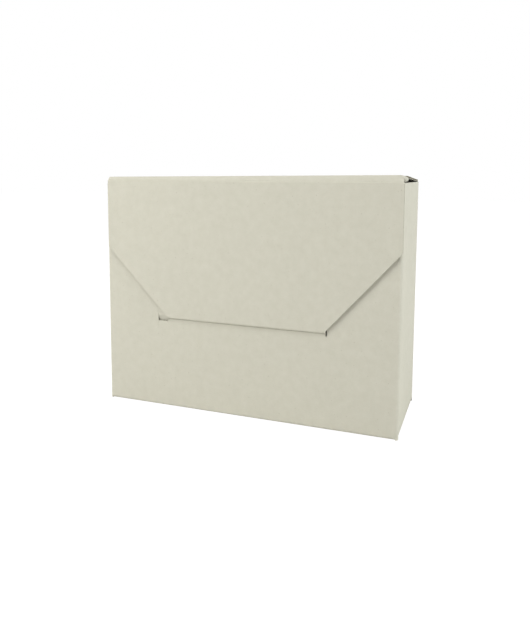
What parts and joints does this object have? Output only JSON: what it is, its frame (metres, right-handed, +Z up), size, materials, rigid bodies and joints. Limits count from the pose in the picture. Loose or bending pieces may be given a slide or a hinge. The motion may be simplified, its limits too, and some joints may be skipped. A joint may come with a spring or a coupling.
{
  "type": "archive box",
  "caption": "Folded corrugated board archive box with a rear-hinged lid, a slanted front flap and a tongue that tucks into a slot in the front.",
  "frame": {"origin": "under the middle of the whole box, on the surface it stands on", "axes": "+X along the width to the right as seen from the front, +Y from the front panel to the back, +Z up"},
  "size_m": [0.34, 0.1228, 0.2672],
  "materials": {
    "outer_board": "uncoated matt",
    "tuck_board": "uncoated matt",
    "base_board": "uncoated matt"
  },
  "bodies": {
    "carton": {"front_panel": "outer_board", "window_strip": "outer_board", "rear_panel": "outer_board", "left_end_panel": "outer_board", "right_end_panel": "outer_board", "glue_flap": "base_board", "front_base_flap": "base_board", "rear_base_flap": "base_board", "left_base_flap": "base_board", "right_base_flap": "base_board", "left_base_glue_tab": "base_board", "right_base_glue_tab": "base_board"},
    "lid": {"lid_panel": "outer_board"},
    "flap": {"front_flap": "outer_board"},
    "tongue": {"tuck_tongue": "tuck_board"},
    "left_ear": {"left_lid_ear": "tuck_board"},
    "right_ear": {"right_lid_ear": "tuck_board"}
  },
  "joints": [
    {"name": "lid_hinge", "type": "hinge", "parent": "carton", "child": "lid", "pos_m": [0, 0.0614, 0.262], "axis": [-1, 0, 0], "range_deg": [0, 175]},
    {"name": "flap_fold", "type": "hinge", "parent": "lid", "child": "flap", "pos_m": [0, -0.0614, 0.26], "axis": [-1, 0, 0], "range_deg": [0, 120]},
    {"name": "tongue_fold", "type": "hinge", "parent": "flap", "child": "tongue", "pos_m": [0, -0.0614, 0.10267], "axis": [-1, 0, 0], "range_deg": [0, 90]},
    {"name": "left_ear_fold", "type": "hinge", "parent": "lid", "child": "left_ear", "pos_m": [-0.1646, -0.0559, 0.26061], "axis": [0, -0.9999, 0.0114], "range_deg": [0, 75]},
    {"name": "right_ear_fold", "type": "hinge", "parent": "lid", "child": "right_ear", "pos_m": [0.1646, -0.0559, 0.26273], "axis": [0, 0.9993, 0.0361], "range_deg": [0, 75]}
  ],
  "couplings": [
    {"joint": "tongue_fold", "follows": "flap_fold", "ratio": 0.75}
  ]
}
